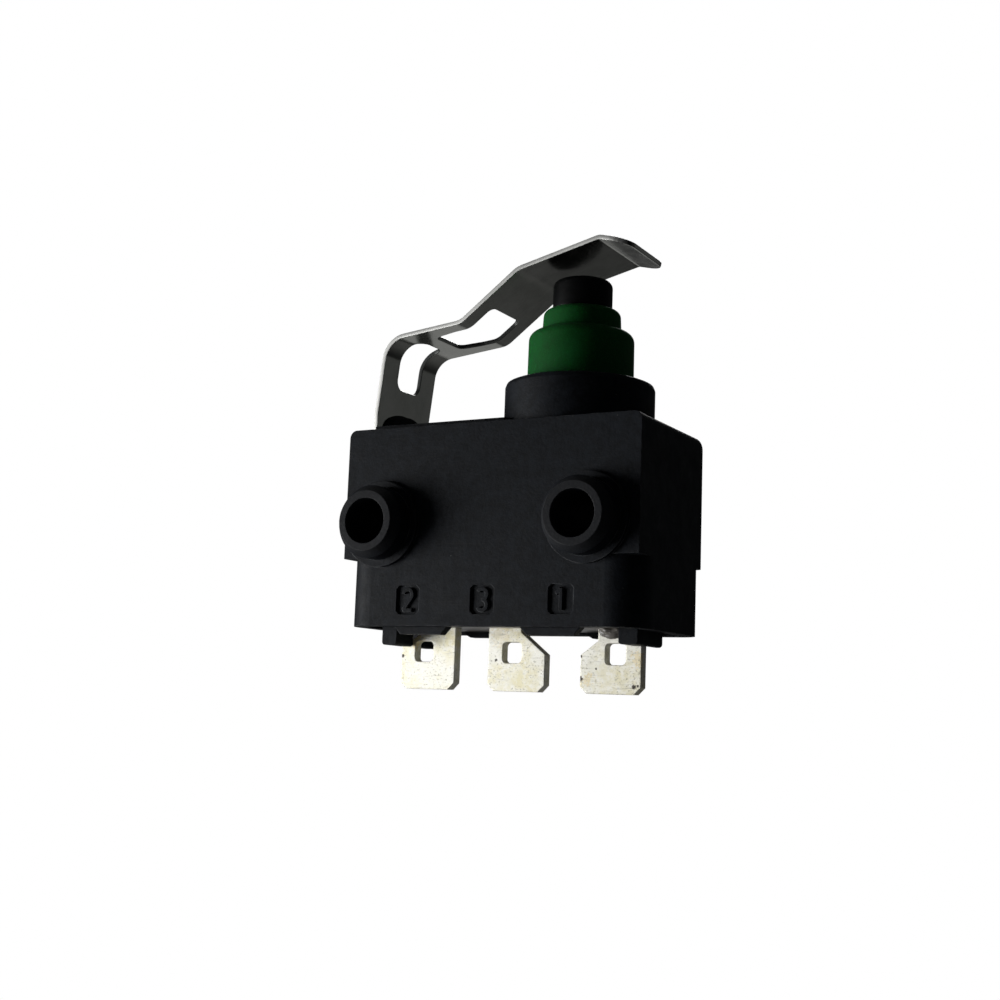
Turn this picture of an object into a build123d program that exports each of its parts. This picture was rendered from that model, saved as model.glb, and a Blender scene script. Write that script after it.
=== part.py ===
from build123d import *
from math import cos, radians, sin
import os

# Sealed subminiature snap-action switch with two hollow mounting posts, a rubber boot and a bent sheet lever.
# Origin: midpoint between the two posts on the front face. +X right, +Y into the body, +Z up, millimetres.

# Body
POST_PITCH = 10.0
BODY_LEFT = 6.95
BODY_RIGHT = 7.35
BODY_DEPTH = 6.9
DECK_HEIGHT = 4.3
SKIRT_DEPTH = 4.45
LEDGE_DROP = 1.5
SKIRT_FRONT_RADIUS = 1.5
SKIRT_REAR_RADIUS = 1.0
DECK_REAR_RADIUS = 0.55
DECK_SIDE_RADIUS = 0.35
WALL = 0.6
ROOF = 0.7
DECK_PAD_RISE = 0.22
DECK_PAD_INSET = 0.45
DECK_PAD_GAP = 0.35

# Mounting posts
POST_LENGTH = 1.4
POST_RADIUS = 1.6
POST_BORE_RADIUS = 1.0
POST_TIP_CHAMFER = 0.28
POST_TIP_CHAMFER_LENGTH = 0.4
POST_BOSS_RADIUS = 1.9
POST_BOSS_LENGTH = 0.22
TUBE_WALL = 0.5
TUBE_HEADROOM = 0.1

# Figures moulded in sunk panels beside the terminals
FIGURES = ("2", "3", "1")
FIGURE_PITCH = 3.7
FIGURE_RISE = 1.12
FIGURE_PANEL_WIDTH = 1.15
FIGURE_PANEL_HEIGHT = 1.25
FIGURE_PANEL_SINK = 0.12
FIGURE_PANEL_CORNER = 0.15
FIGURE_HEIGHT = 0.9
FIGURE_STROKE = 0.16
TWO_ARC = (170, -200)
THREE_TOP_ARC = (150, -240)
THREE_FOOT_ARC = (90, -240)

# Collar, boot and plunger on one axis
STACK_INSET = 2.2
COLLAR_RISE = 2.03
COLLAR_WALL = 0.55
COLLAR_RIM_EASE = 0.22
BOOT_SEAT_DEPTH = 1.05
BOOT_FLANGE = 0.45
BOOT_WALL = 0.5
BOOT_LOWER_RADIUS = 2.33
BOOT_LOWER_RISE = 2.33
BOOT_LOWER_EASE = 0.4
BOOT_UPPER_RADIUS = 1.7
BOOT_UPPER_RISE = 1.04
BOOT_UPPER_EASE = 0.25
BOOT_TOP_WALL = 0.4
SOFT_GAP = 0.05
RING_HEIGHT = 0.45
RING_WIDTH = 0.35
CAP_RADIUS = 1.32
CAP_RISE = 1.42
CAP_EASE = 0.3
NECK_RADIUS = 0.95
NECK_FLANGE_RADIUS = 1.12
NECK_FLANGE_HEIGHT = 0.25
STEM_RADIUS = 0.8
STEM_FOOT_RADIUS = 1.05
STEM_FOOT_HEIGHT = 0.4
STEM_BORE_RADIUS = 0.5
GUIDE_WALL = 0.55
GUIDE_DROP = 0.3
RUNNING_FIT = 0.03
EASE_SHARE = 0.29
PLUNGER_TRAVEL = 1.0

# Lever of sprung sheet: it rises from its root in the deck, over a crown, a knee and a brow, to its turned-down tip
LEVER_SHEET = 0.2
LEVER_WIDTH = 4.32
LEVER_ROOT_INSET = 0.45
LEVER_ROOT_DEPTH = 1.5
LEVER_PIVOT_DEPTH = 0.8
LEVER_FOOT_RISE = 1.08
LEVER_CROWN_RUN = 0.4
LEVER_CROWN_DROP = 2.34
LEVER_KNEE_RUN = 4.29
LEVER_KNEE_DROP = 1.9
LEVER_BROW_BACK = 2.18
LEVER_BROW_RISE = 0.24
LEVER_LIP_REACH = 1.75
LEVER_LIP_RISE = 1.19
LEVER_TIP_REACH = 3.1
LEVER_TIP_RISE = 0.85
LEVER_BEND_RADII = (0.8, 1.14, 0.96, 1.08, 0.47)
LEVER_TIP_RADIUS = 0.88
LEVER_SLOT_GAP = 0.16
LEVER_SLOT_FLOOR_GAP = 0.1
CROWN_WINDOW_WIDTH = 1.9
CROWN_WINDOW_DROP = 2.05
CROWN_WINDOW_RUN = 1.16
CROWN_WINDOW_FOOT_RADIUS = 0.5
CROWN_WINDOW_HEAD_RADIUS = 0.6
KNEE_WINDOW_BEFORE = 1.95
KNEE_WINDOW_AFTER = 1.11
KNEE_WINDOW_WIDTH = 2.6
KNEE_WINDOW_START_WIDTH = 2.2
KNEE_WINDOW_START_RUN = 1.2
KNEE_WINDOW_RADIUS = 0.35

# Base with its feet and edging lips
BASE_PLATE = 0.8
BASE_RECESS = 0.45
BASE_FIT = 0.02
FOOT_WIDTH = 0.75
FOOT_DEPTH = 1.4
FOOT_REACH = 0.74
FOOT_LEFT_INSET = 1.1
FOOT_GAP = 0.1
RIGHT_FOOT_INSET = 0.75
RIGHT_FOOT_WIDTH = 0.85
RIGHT_FOOT_REACH = 0.6
HEEL_WIDTH = 0.42
HEEL_DEPTH = 1.2
FOOT_RADIUS = 0.15
LIP_THICKNESS = 0.45
LIP_REACH = 0.32
LIP_SLOPE = 0.3
LIP_LEFT_INSET = 2.45
LIP_RIGHT_INSET = 2.85
LIP_NOTCH_WIDTH = 3.6
LIP_NOTCH_SHIFT = -0.26
REAR_LIP_REACH = 0.15
REAR_LIP_INSETS = (2.95, 9.25)
REAR_LIP_WIDTH = 3.3
RESIN_DROP = 0.12
RESIN_GAP = 0.01

# Terminals, stamped from one strip
SHEET = 0.5
TAB_PITCH = 4.53
TAB_WIDTH = 2.8
TAB_REACH = 2.62
TAB_SHOULDER_DROPS = (0.7, 1.0, 1.0)
TAB_SHOULDER_RISES = (0.6, 0.95, 0.6)
TAB_CHAMFER = 0.3
TAB_NECK_WIDTHS = (1.7, 1.6, 2.0)
TAB_HOLE_WIDTH = 0.97
TAB_HOLE_HEIGHT = 0.92
TAB_HOLE_RISE = 1.68
TAB_HOLE_SHIFT = 0.22
TAB_HOLE_RADIUS = 0.2
RUN_HEIGHT = 0.55
RUN_CLEARANCE = 0.45
UPRIGHT_WIDTH = 0.5
UPRIGHT_GAP = 0.25

# Contacts and snap mechanism
TUBE_CLEARANCE = 0.05
CONTACT_RADIUS = 0.5
CONTACT_HEIGHT = 0.3
CONTACT_SHANK_RADIUS = 0.2
MOVING_CONTACT_HEIGHT = 0.22
BLADE_Z = 1.0
BLADE_SHEET = 0.1
BLADE_WIDTH = 2.4
BLADE_TIP_MARGIN = 0.1
BLADE_TIP_CHAMFER = 0.6
BLADE_STILE = 0.5
BLADE_WINDOW_LEAD = 0.35
BLADE_WINDOW_TAIL = 1.15
BLADE_HINGE_OFFSET = 0.25
ANCHOR_LEAD = 0.12
ANCHOR_LENGTH = 0.5
ANCHOR_HEIGHT = 0.4
ANCHOR_RIVET_RADIUS = 0.13
ANCHOR_HEAD_RADIUS = 0.21
ANCHOR_HEAD_HEIGHT = 0.12
REST_GAP = 0.03
RIVET_FIT = 0.01
CONTACT_GAP = 0.42
HOOK_LEAD = 1.95
HOOK_DROP = 0.85
HOOK_WIDTH = 0.4
BOW_SHEET = 0.08
BOW_WIDTH = 1.0
BOW_SAG = 0.75
BOW_SEAT_DROP = 0.2
BOW_GAP = 0.03
PUSHER_ENGAGEMENT = 0.5
PUSHER_HEAD_RADIUS = 0.62
PUSHER_HEAD_HEIGHT = 0.3
PUSHER_NOSE_RADIUS = 0.3
PUSHER_TOE = 0.65
PUSHER_NOSE_HEIGHT = 0.15
SPRING_WIRE = 0.12
SPRING_TURNS = 5
SPRING_CHORDS = 12
SPRING_SPARE = 0.68
SPRING_CLEARANCE = 0.04

# Places worked out from the sizes above
MID_Y = BODY_DEPTH / 2
STACK_X = POST_PITCH / 2 - STACK_INSET
BODY_CENTRE_X = (BODY_RIGHT - BODY_LEFT) / 2
RIM_Z = DECK_HEIGHT + COLLAR_RISE
SEAT_Z = RIM_Z - BOOT_SEAT_DEPTH
BOOT_SHOULDER_Z = RIM_Z + BOOT_LOWER_RISE
BOOT_TOP_Z = BOOT_SHOULDER_Z + BOOT_UPPER_RISE
CAP_TOP_Z = BOOT_TOP_Z + CAP_RISE
ROOF_Z = DECK_HEIGHT - ROOF
GUIDE_FOOT_Z = ROOF_Z - GUIDE_DROP
COLLAR_BORE_RADIUS = BOOT_LOWER_RADIUS + SOFT_GAP + RING_WIDTH + BASE_FIT
COLLAR_RADIUS = COLLAR_BORE_RADIUS + COLLAR_WALL
GUIDE_BORE_RADIUS = STEM_RADIUS + RUNNING_FIT
GUIDE_RADIUS = GUIDE_BORE_RADIUS + GUIDE_WALL
TUBE_RADIUS = POST_BORE_RADIUS + TUBE_WALL
UPRIGHT_X = TUBE_RADIUS + TUBE_CLEARANCE - POST_PITCH / 2
CONTACT_X = UPRIGHT_X + UPRIGHT_WIDTH + UPRIGHT_GAP + CONTACT_RADIUS
BASE_FLOOR_Z = BASE_RECESS - SKIRT_DEPTH
BASE_TOP_Z = BASE_FLOOR_Z + BASE_PLATE
CAVITY_SHOULDER_Z = TUBE_RADIUS + TUBE_HEADROOM
FIGURE_CENTRE_Z = FIGURE_RISE - SKIRT_DEPTH
BLADE_TOP_Z = BLADE_Z + BLADE_SHEET / 2
BLADE_UNDER_Z = BLADE_Z - BLADE_SHEET / 2
MOVING_TOP_Z = BLADE_TOP_Z + MOVING_CONTACT_HEIGHT
MOVING_FOOT_Z = BLADE_UNDER_Z - MOVING_CONTACT_HEIGHT
UPPER_SEAT_Z = MOVING_TOP_Z + REST_GAP + CONTACT_HEIGHT
LOWER_SEAT_Z = MOVING_FOOT_Z - CONTACT_GAP - CONTACT_HEIGHT
PUSHER_FOOT_Z = BLADE_TOP_Z + REST_GAP
PUSHER_HEAD_Z = PUSHER_FOOT_Z + PUSHER_NOSE_HEIGHT
PUSHER_SHANK_Z = PUSHER_HEAD_Z + PUSHER_HEAD_HEIGHT
STEM_FOOT_Z = GUIDE_FOOT_Z - REST_GAP - STEM_FOOT_HEIGHT
PUSHER_TOP_Z = STEM_FOOT_Z + PUSHER_ENGAGEMENT
SPRING_ROOM = PLUNGER_TRAVEL + SPRING_TURNS * SPRING_WIRE + SPRING_SPARE
STEM_BORE_TOP_Z = PUSHER_TOP_Z + SPRING_ROOM
PUSHER_SHANK_RADIUS = STEM_BORE_RADIUS - RUNNING_FIT
BLADE_HINGE_X = STACK_X + BLADE_HINGE_OFFSET
BLADE_WINDOW_START = CONTACT_X + CONTACT_RADIUS + BLADE_WINDOW_LEAD
BLADE_WINDOW_END = BLADE_HINGE_X - BLADE_WINDOW_TAIL
HOOK_X = BLADE_HINGE_X - HOOK_LEAD
ANCHOR_RIVET_X = BLADE_HINGE_X + ANCHOR_LENGTH / 2
HOOK_Z = BLADE_Z - HOOK_DROP
RUN_Z = BASE_TOP_Z + RUN_CLEARANCE
TAB_X = [BODY_CENTRE_X + k * TAB_PITCH for k in (-1, 0, 1)]
TAB_TIP_Z = -SKIRT_DEPTH - TAB_REACH
LEVER_ROOT_X = LEVER_ROOT_INSET - BODY_LEFT
LEVER_FOOT_BEND = (LEVER_ROOT_X, DECK_HEIGHT + LEVER_FOOT_RISE)
LEVER_CROWN = (LEVER_ROOT_X + LEVER_CROWN_RUN, CAP_TOP_Z - LEVER_CROWN_DROP)
LEVER_KNEE = (LEVER_ROOT_X + LEVER_KNEE_RUN, CAP_TOP_Z - LEVER_KNEE_DROP)
LEVER_BROW = (STACK_X - LEVER_BROW_BACK, CAP_TOP_Z + LEVER_BROW_RISE)
LEVER_LIP = (STACK_X + LEVER_LIP_REACH, CAP_TOP_Z + LEVER_LIP_RISE)
LEVER_TIP = (STACK_X + LEVER_TIP_REACH, CAP_TOP_Z + LEVER_TIP_RISE)


def block(x0, x1, y0, y1, z0, z1):
    """A box between two corners."""
    centre = ((x0 + x1) / 2, (y0 + y1) / 2, (z0 + z1) / 2)
    return Pos(*centre) * Box(x1 - x0, y1 - y0, z1 - z0)


def rod(x, y, z0, z1, radius):
    """An upright cylinder."""
    return Pos(x, y, (z0 + z1) / 2) * Cylinder(radius, z1 - z0)


def cross_rod(x, z, y0, y1, radius):
    """A cylinder along the depth of the body."""
    return Pos(x, (y0 + y1) / 2, z) * Rot(90, 0, 0) * Cylinder(radius, y1 - y0)


def turned(points, x=STACK_X, y=MID_Y):
    """A solid of revolution about an upright axis, from (radius, z) corners."""
    profile = make_face(Polyline(*[(r, 0, z) for r, z in points], close=True))
    return Pos(x, y, 0) * revolve(profile, Axis.Z)


def eased_corner(radius, z, size):
    """The (radius, z) points of an outer top corner that is eased in two short cones."""
    near = size * EASE_SHARE
    return [(radius, z - size), (radius - near, z - near), (radius - size, z)]


def plate_xz(points, y0, y1):
    """A flat plate from (x, z) corners, as thick as y0 to y1."""
    face = make_face(Polyline(*[(x, y0, z) for x, z in points], close=True))
    return extrude(face, amount=y1 - y0, dir=(0, 1, 0))


def upright_edges(solid, x_side, y_side):
    """The vertical edges on one side in X and one side in Y."""
    edges = solid.edges().filter_by(Axis.Z)
    return [e for e in edges if (e.center().X > 0) == x_side and (e.center().Y > MID_Y) == y_side]


def skirt_block(inset, z0, z1):
    """The lower body outline with its rounded corners, moved inwards by inset."""
    solid = block(inset - BODY_LEFT, BODY_RIGHT - inset, inset, BODY_DEPTH - inset, z0, z1)
    for rear, radius in ((False, SKIRT_FRONT_RADIUS), (True, SKIRT_REAR_RADIUS)):
        corners = upright_edges(solid, False, rear) + upright_edges(solid, True, rear)
        solid = fillet(corners, radius - inset)
    return solid


def upper_block():
    """The upper body, square at its corners and rounded along three edges of the deck."""
    solid = block(-BODY_LEFT, BODY_RIGHT, 0, BODY_DEPTH, -LEDGE_DROP, DECK_HEIGHT)
    deck = solid.faces().sort_by(Axis.Z)[-1]
    solid = fillet(deck.edges().sort_by(Axis.Y)[-1:], DECK_REAR_RADIUS)
    deck = solid.faces().sort_by(Axis.Z)[-1]
    sides = [deck.edges().sort_by(Axis.X)[0], deck.edges().sort_by(Axis.X)[-1]]
    return fillet(sides, DECK_SIDE_RADIUS)


def deck_pad():
    """The low pad on the deck between the lever and the collar."""
    left = LEVER_ROOT_X + LEVER_SHEET / 2 + LEVER_SLOT_GAP + DECK_PAD_GAP
    front = DECK_PAD_INSET
    rear = BODY_DEPTH - DECK_PAD_INSET
    right = STACK_X - COLLAR_RADIUS / 2
    pad = block(left, right, front, rear, DECK_HEIGHT, DECK_HEIGHT + DECK_PAD_RISE)
    ends = pad.edges().filter_by(Axis.Z).sort_by(Axis.X)[2:]
    return chamfer(ends, DECK_PAD_INSET)


def collar():
    """The round collar on the deck, eased at its rim."""
    rim = eased_corner(COLLAR_RADIUS, RIM_Z, COLLAR_RIM_EASE)
    return turned([(0, DECK_HEIGHT), (COLLAR_RADIUS, DECK_HEIGHT), *rim, (0, RIM_Z)])


def post(x):
    """A post with its root boss and a tapered tip, standing out of the front face."""
    straight = POST_LENGTH - POST_TIP_CHAMFER_LENGTH
    tip = POST_RADIUS - POST_TIP_CHAMFER
    profile = Polyline(
        (0, 0, 0),
        (POST_BOSS_RADIUS, 0, 0),
        (POST_BOSS_RADIUS, -POST_BOSS_LENGTH, 0),
        (POST_RADIUS, -POST_BOSS_LENGTH, 0),
        (POST_RADIUS, -straight, 0),
        (tip, -POST_LENGTH, 0),
        (0, -POST_LENGTH, 0),
        close=True,
    )
    return Pos(x, 0, 0) * revolve(make_face(profile), Axis.Y)


def figure_panel(x):
    """The sunk panel that holds one figure."""
    outline = Rectangle(FIGURE_PANEL_WIDTH, FIGURE_PANEL_HEIGHT)
    outline = chamfer(outline.vertices(), FIGURE_PANEL_CORNER)
    return extrude(Plane.XZ * Pos(x, FIGURE_CENTRE_Z) * outline, amount=FIGURE_PANEL_SINK, dir=(0, 1, 0))


def figure_strokes(name):
    """The strokes of a plain figure, from the centre of its panel."""
    half = FIGURE_HEIGHT / 2
    bowl = FIGURE_HEIGHT / 4
    if name == "1":
        return [Line((-bowl, half - bowl), (0, half)), Line((0, half), (0, -half))]
    if name == "2":
        arc = CenterArc((0, half - bowl), bowl, *TWO_ARC)
        return [arc, Line(arc @ 1, (-bowl, -half)), Line((-bowl, -half), (bowl, -half))]
    return [CenterArc((0, bowl), bowl, *THREE_TOP_ARC), CenterArc((0, -bowl), bowl, *THREE_FOOT_ARC)]


def figure(name, x):
    """A raised figure standing on the floor of its panel, level with the front face."""
    outline = Sketch()
    for stroke in figure_strokes(name):
        outline += trace(stroke, line_width=FIGURE_STROKE)
    return extrude(Plane.XZ * Pos(x, FIGURE_CENTRE_Z) * outline, amount=FIGURE_PANEL_SINK, dir=(0, 1, 0))


def lever_slot():
    """The pocket in the deck that holds the lever's root."""
    half = LEVER_SHEET / 2 + LEVER_SLOT_GAP
    reach = LEVER_WIDTH / 2 + LEVER_SLOT_GAP
    floor = DECK_HEIGHT - LEVER_ROOT_DEPTH - LEVER_SLOT_FLOOR_GAP
    slot = block(LEVER_ROOT_X - half, LEVER_ROOT_X + half, MID_Y - reach, MID_Y + reach, floor, DECK_HEIGHT)
    pivot_z = DECK_HEIGHT - LEVER_PIVOT_DEPTH
    crest = LEVER_SHEET / 2 + RUNNING_FIT
    for side in (-1, 1):
        ridge = [(side * crest, 0), (side * half, half - crest), (side * half, crest - half)]
        corners = [(LEVER_ROOT_X + x, pivot_z + z) for x, z in ridge]
        slot -= plate_xz(corners, MID_Y - reach, MID_Y + reach)
    return slot


def cavity():
    """The room for the mechanism: full width below and above the bore tubes, clear of the lever's pocket."""
    left = WALL - BODY_LEFT
    right = BODY_RIGHT - WALL
    slot_wall = LEVER_ROOT_X + LEVER_SHEET / 2 + LEVER_SLOT_GAP + WALL
    room = block(left, right, WALL, BODY_DEPTH - WALL, -LEDGE_DROP, CAVITY_SHOULDER_Z)
    room += block(slot_wall, right, WALL, BODY_DEPTH - WALL, CAVITY_SHOULDER_Z, ROOF_Z)
    room += skirt_block(WALL, -SKIRT_DEPTH, -LEDGE_DROP)
    for side in (-1, 1):
        room -= cross_rod(side * POST_PITCH / 2, 0, 0, BODY_DEPTH, TUBE_RADIUS)
    return room


def make_housing():
    """The moulded case with its collar, posts, bore tubes and skirt."""
    body = upper_block() + skirt_block(0, -SKIRT_DEPTH, -LEDGE_DROP) + deck_pad() + collar()
    for side in (-1, 1):
        body += post(side * POST_PITCH / 2)
    body -= cavity()
    body -= lever_slot()
    body -= rod(STACK_X, MID_Y, SEAT_Z, RIM_Z, COLLAR_BORE_RADIUS)
    body -= rod(STACK_X, MID_Y, ROOF_Z, SEAT_Z, GUIDE_RADIUS)
    for side in (-1, 1):
        body -= cross_rod(side * POST_PITCH / 2, 0, -POST_LENGTH, BODY_DEPTH, POST_BORE_RADIUS)
    for k, name in enumerate(FIGURES):
        x = BODY_CENTRE_X + (k - 1) * FIGURE_PITCH
        body -= figure_panel(x) - figure(name, x)
    return body


def lip(x0, x1, y0, y1, reach):
    """An edging lip under the base, with sloped ends."""
    foot = -SKIRT_DEPTH - reach
    corners = [(x0, BASE_FLOOR_Z), (x0, -SKIRT_DEPTH), (x0 + LIP_SLOPE, foot)]
    corners += [(x1 - LIP_SLOPE, foot), (x1, -SKIRT_DEPTH), (x1, BASE_FLOOR_Z)]
    return plate_xz(corners, y0, y1)


def foot_blocks(gap):
    """The feet under the base: one before and one behind the left terminal, one at the right with its heel."""
    left = FOOT_LEFT_INSET - BODY_LEFT - gap
    left_end = left + FOOT_WIDTH + 2 * gap
    right_end = BODY_RIGHT - RIGHT_FOOT_INSET + gap
    right = right_end - RIGHT_FOOT_WIDTH - 2 * gap
    heel = right_end - HEEL_WIDTH - 2 * gap
    near = SHEET / 2 + FOOT_GAP - gap
    far = SHEET / 2 + FOOT_GAP + FOOT_DEPTH + gap
    left_z = -SKIRT_DEPTH - FOOT_REACH
    right_z = -SKIRT_DEPTH - RIGHT_FOOT_REACH
    return [
        block(left, left_end, MID_Y - far, MID_Y - near, left_z, BASE_FLOOR_Z),
        block(left, left_end, MID_Y + near, MID_Y + far, left_z, BASE_FLOOR_Z),
        block(right, right_end, MID_Y - far, MID_Y - near, right_z, BASE_FLOOR_Z),
        block(heel, right_end, MID_Y - far, MID_Y - near + HEEL_DEPTH, right_z, BASE_FLOOR_Z),
    ]


def make_base():
    """The plate that closes the skirt, with its feet and the lips that hold the sealing resin."""
    inset = WALL + BASE_FIT
    base = skirt_block(inset, BASE_FLOOR_Z, BASE_TOP_Z)
    for foot in foot_blocks(0):
        base += fillet(foot.edges().group_by(Axis.Z)[0].filter_by(Axis.Y), FOOT_RADIUS)
    lip_left = LIP_LEFT_INSET - BODY_LEFT
    lip_right = BODY_RIGHT - LIP_RIGHT_INSET
    notch = BODY_CENTRE_X + LIP_NOTCH_SHIFT
    front = inset + LIP_THICKNESS
    base += lip(lip_left, notch - LIP_NOTCH_WIDTH / 2, inset, front, LIP_REACH)
    base += lip(notch + LIP_NOTCH_WIDTH / 2, lip_right, inset, front, LIP_REACH)
    rear = BODY_DEPTH - inset
    for rear_inset in REAR_LIP_INSETS:
        x0 = rear_inset - BODY_LEFT
        base += lip(x0, x0 + REAR_LIP_WIDTH, rear - LIP_THICKNESS, rear, REAR_LIP_REACH)
    for k in range(len(FIGURES)):
        base -= neck_block(k, BASE_FIT, BASE_FLOOR_Z, BASE_TOP_Z)
    return base


def make_resin():
    """The sealing resin that fills the tray between the lips, feet and terminals."""
    top = BASE_FLOOR_Z
    under = -SKIRT_DEPTH + RESIN_DROP
    edge = WALL + BASE_FIT + LIP_THICKNESS + RESIN_GAP
    room = block(-BODY_LEFT, BODY_RIGHT, edge, BODY_DEPTH - edge, under, top)
    resin = skirt_block(WALL + RESIN_GAP, under, top) & room
    for foot in foot_blocks(RESIN_GAP):
        resin -= foot
    for k in range(len(FIGURES)):
        resin -= neck_block(k, RESIN_GAP, under, top)
    return resin


def neck_span(k):
    """The span in X of a terminal's neck: on the right of the two end tabs, on the left of the middle one."""
    x0 = TAB_X[k] - TAB_WIDTH / 2
    x1 = TAB_X[k] + TAB_WIDTH / 2
    if k == 1:
        return x0, x0 + TAB_NECK_WIDTHS[k]
    return x1 - TAB_NECK_WIDTHS[k], x1


def neck_block(k, gap, z0, z1):
    """The opening that a terminal's neck passes through, with a gap all round."""
    x0, x1 = neck_span(k)
    reach = SHEET / 2 + gap
    return block(x0 - gap, x1 + gap, MID_Y - reach, MID_Y + reach, z0, z1)


def tab(k):
    """A solder tab with clipped tip corners, one sloped shoulder, an eye and its neck up through the base."""
    x0 = TAB_X[k] - TAB_WIDTH / 2
    x1 = TAB_X[k] + TAB_WIDTH / 2
    n0, n1 = neck_span(k)
    shoulder = -SKIRT_DEPTH - TAB_SHOULDER_DROPS[k]
    head = shoulder + TAB_SHOULDER_RISES[k]
    corners = [(x0, TAB_TIP_Z + TAB_CHAMFER), (x0 + TAB_CHAMFER, TAB_TIP_Z), (x1 - TAB_CHAMFER, TAB_TIP_Z)]
    corners += [(x1, TAB_TIP_Z + TAB_CHAMFER)]
    if n0 > x0:
        corners += [(n1, RUN_Z), (n0, RUN_Z), (n0, head), (x0, shoulder)]
    else:
        corners += [(x1, shoulder), (n1, head), (n1, RUN_Z), (n0, RUN_Z)]
    solid = plate_xz(corners, MID_Y - SHEET / 2, MID_Y + SHEET / 2)
    shift = TAB_HOLE_SHIFT if k == 2 else -TAB_HOLE_SHIFT
    outline = RectangleRounded(TAB_HOLE_WIDTH, TAB_HOLE_HEIGHT, TAB_HOLE_RADIUS)
    eye = Plane.XZ * Pos(TAB_X[k] + shift, TAB_TIP_Z + TAB_HOLE_RISE) * outline
    return solid - extrude(eye, amount=BODY_DEPTH, dir=(0, 1, 0))


def strip(x0, x1, z0, z1):
    """A length of terminal strip inside the case."""
    return block(min(x0, x1), max(x0, x1), MID_Y - SHEET / 2, MID_Y + SHEET / 2, z0, z1)


def shank_hole(x, z0, z1, radius):
    """The hole that a rivet's shank fills."""
    return rod(x, MID_Y, z0, z1, radius + RIVET_FIT)


def upper_contact_terminal(k):
    """The terminal that carries the upper contact: it climbs past the contacts and turns in over them."""
    n0, n1 = neck_span(k)
    right = CONTACT_X + CONTACT_RADIUS
    inner = UPRIGHT_X + UPRIGHT_WIDTH
    top = UPPER_SEAT_Z + SHEET
    solid = tab(k) + strip(n0, inner, RUN_Z, RUN_Z + RUN_HEIGHT)
    solid += strip(UPRIGHT_X, inner, RUN_Z, top)
    return solid + strip(UPRIGHT_X, right, UPPER_SEAT_Z, top)


def lower_contact_terminal(k):
    """The terminal that carries the lower contact on a plain block of strip."""
    n0, n1 = neck_span(k)
    left = CONTACT_X - CONTACT_RADIUS
    solid = tab(k) + strip(left, n1, RUN_Z, RUN_Z + RUN_HEIGHT)
    return solid + strip(left, CONTACT_X + CONTACT_RADIUS, RUN_Z, LOWER_SEAT_Z)


def common_terminal(k):
    """The terminal that carries the blade's tail on an arm, and the bow spring's end on a hook."""
    n0, n1 = neck_span(k)
    root = BLADE_HINGE_X - ANCHOR_LEAD
    arm_z = BLADE_UNDER_Z - ANCHOR_HEIGHT
    half = HOOK_WIDTH / 2
    solid = tab(k) + strip(HOOK_X - half, n1, RUN_Z, RUN_Z + RUN_HEIGHT)
    solid += strip(root, root + UPRIGHT_WIDTH, RUN_Z, BLADE_UNDER_Z)
    solid += strip(root, BLADE_HINGE_X + ANCHOR_LENGTH, arm_z, BLADE_UNDER_Z)
    solid += strip(HOOK_X - half, HOOK_X + half, RUN_Z, HOOK_Z)
    return solid - shank_hole(ANCHOR_RIVET_X, arm_z, BLADE_UNDER_Z, ANCHOR_RIVET_RADIUS)


def fixed_contact(z0):
    """A contact disc welded to the edge of its terminal."""
    return rod(CONTACT_X, MID_Y, z0, z0 + CONTACT_HEIGHT, CONTACT_RADIUS)


def make_moving_contact():
    """The two-headed rivet through the free end of the blade."""
    profile = [(0, MOVING_FOOT_Z), (CONTACT_RADIUS, MOVING_FOOT_Z), (CONTACT_RADIUS, BLADE_UNDER_Z)]
    profile += [(CONTACT_SHANK_RADIUS, BLADE_UNDER_Z), (CONTACT_SHANK_RADIUS, BLADE_TOP_Z)]
    profile += [(CONTACT_RADIUS, BLADE_TOP_Z), (CONTACT_RADIUS, MOVING_TOP_Z), (0, MOVING_TOP_Z)]
    return turned(profile, CONTACT_X, MID_Y)


def make_blade():
    """The moving blade: a frame of thin sheet with a window for the bow spring and a tapered tip."""
    tip = CONTACT_X - CONTACT_RADIUS - BLADE_TIP_MARGIN
    tail = BLADE_HINGE_X + ANCHOR_LENGTH
    half = BLADE_WIDTH / 2
    blade = block(tip, tail, MID_Y - half, MID_Y + half, BLADE_UNDER_Z, BLADE_TOP_Z)
    blade = chamfer(blade.edges().filter_by(Axis.Z).sort_by(Axis.X)[:2], BLADE_TIP_CHAMFER)
    window = half - BLADE_STILE
    blade -= block(BLADE_WINDOW_START, BLADE_WINDOW_END, MID_Y - window, MID_Y + window,
                   BLADE_UNDER_Z, BLADE_TOP_Z)
    blade -= shank_hole(CONTACT_X, BLADE_UNDER_Z, BLADE_TOP_Z, CONTACT_SHANK_RADIUS)
    return blade - shank_hole(ANCHOR_RIVET_X, BLADE_UNDER_Z, BLADE_TOP_Z, ANCHOR_RIVET_RADIUS)


def make_anchor_rivet():
    """The rivet that holds the blade's tail to the common terminal."""
    x = ANCHOR_RIVET_X
    shank = rod(x, MID_Y, BLADE_UNDER_Z - ANCHOR_HEIGHT, BLADE_TOP_Z, ANCHOR_RIVET_RADIUS)
    return shank + rod(x, MID_Y, BLADE_TOP_Z, BLADE_TOP_Z + ANCHOR_HEAD_HEIGHT, ANCHOR_HEAD_RADIUS)


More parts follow.
